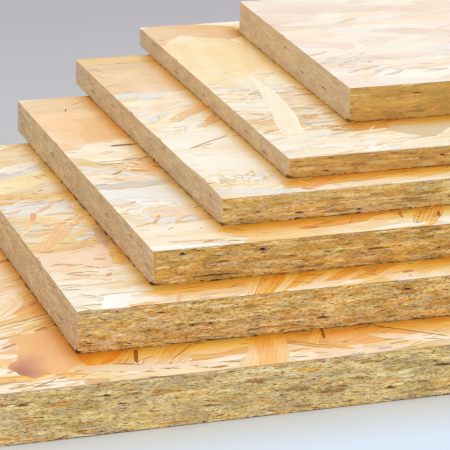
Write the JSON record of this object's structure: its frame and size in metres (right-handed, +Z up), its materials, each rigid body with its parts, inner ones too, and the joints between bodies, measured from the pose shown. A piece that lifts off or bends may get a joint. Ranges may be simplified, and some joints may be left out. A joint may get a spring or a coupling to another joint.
{
  "type": "stack of osb panels",
  "caption": "Stair-stepped stack of sawn oriented strand board (OSB) panels of graded thickness, lying flat, each set back and to the right of the one below",
  "frame": {"origin": "middle of the whole stack's bounding box, on the underside of the bottom board", "axes": "+X to the right along the boards' front edges (the long way of the stack), +Y to the back, +Z up"},
  "size_m": [0.5022, 0.315, 0.092],
  "materials": {
    "panel_1_bottom": "matte",
    "panel_2": "matte",
    "panel_3": "matte",
    "panel_4": "matte",
    "panel_5": "matte",
    "panel_6_top": "matte"
  },
  "bodies": {
    "root": {"panel_1_bottom": "panel_1_bottom", "panel_2": "panel_2", "panel_3": "panel_3", "panel_4": "panel_4", "panel_5": "panel_5", "panel_6_top": "panel_6_top"}
  },
  "joints": []
}
